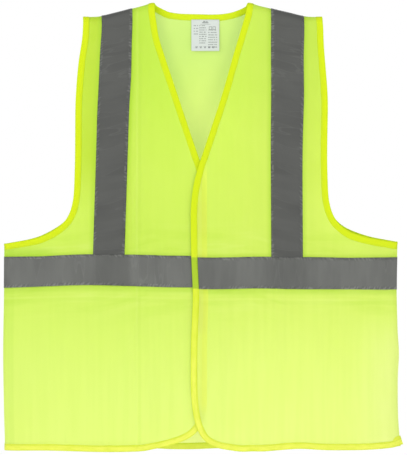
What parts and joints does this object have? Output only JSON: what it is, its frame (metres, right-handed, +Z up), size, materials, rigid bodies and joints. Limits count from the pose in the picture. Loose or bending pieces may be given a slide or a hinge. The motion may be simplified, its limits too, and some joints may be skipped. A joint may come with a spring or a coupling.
{
  "type": "high visibility vest",
  "caption": "Sleeveless fluorescent safety vest with reflective braces and waist band, a crossed front that folds open, bound edges and a care label.",
  "frame": {"origin": "midway between the two neck points, on the line of the shoulders, where a hanger's arms bear", "axes": "+Z up, -Y towards the front of the garment, -X towards the wearer's right"},
  "size_m": [0.6337, 0.099, 0.71],
  "materials": {
    "fluorescent_knit": "warp-knitted polyester, matt, slightly see-through",
    "bright_binding": "folded knitted polyester tape",
    "reflective_tape": "grey glass-bead retroreflective tape",
    "overlock_thread": "overlocked polyester seam",
    "hook_and_loop": "yellow hook and loop tape",
    "label_satin": "white woven satin"
  },
  "bodies": {
    "vest_shell": {"back_panel": "fluorescent_knit", "right_front_side_panel": "fluorescent_knit", "left_front_side_panel": "fluorescent_knit", "right_brace_tape": "reflective_tape", "left_brace_tape": "reflective_tape", "back_waist_tape": "reflective_tape", "right_waist_tape_side": "reflective_tape", "left_waist_tape_side": "reflective_tape", "neck_binding": "bright_binding", "right_armhole_binding": "bright_binding", "left_armhole_binding": "bright_binding", "right_front_hem_binding": "bright_binding", "left_front_hem_binding": "bright_binding", "back_hem_binding": "bright_binding", "right_side_seam": "overlock_thread", "left_side_seam": "overlock_thread", "right_shoulder_seam": "overlock_thread", "left_shoulder_seam": "overlock_thread"},
    "left_front": {"left_front_flap_panel": "fluorescent_knit", "left_waist_tape_flap": "reflective_tape", "left_front_edge_binding": "bright_binding", "upper_hook_patch": "hook_and_loop", "lower_hook_patch": "hook_and_loop"},
    "right_front": {"right_front_flap_panel": "fluorescent_knit", "right_waist_tape_flap": "reflective_tape", "right_front_edge_binding": "bright_binding", "upper_loop_patch": "hook_and_loop", "lower_loop_patch": "hook_and_loop"},
    "label": {"care_label": "label_satin"}
  },
  "joints": [
    {"name": "left_front_open", "type": "hinge", "parent": "vest_shell", "child": "left_front", "pos_m": [0.08896, -0.03231, -0.38286], "axis": [-0.0338, 0.0552, 0.9979], "range_deg": [0, 150]},
    {"name": "right_front_open", "type": "hinge", "parent": "vest_shell", "child": "right_front", "pos_m": [-0.08896, -0.03231, -0.38286], "axis": [-0.0338, -0.0552, -0.9979], "range_deg": [0, 105]},
    {"name": "label_lift", "type": "hinge", "parent": "vest_shell", "child": "label", "pos_m": [0.0069, 0.00852, -0.025], "axis": [-1, 0, 0], "range_deg": [0, 130]}
  ],
  "couplings": [
    {"joint": "right_front_open", "follows": "left_front_open", "ratio": 0.7}
  ]
}
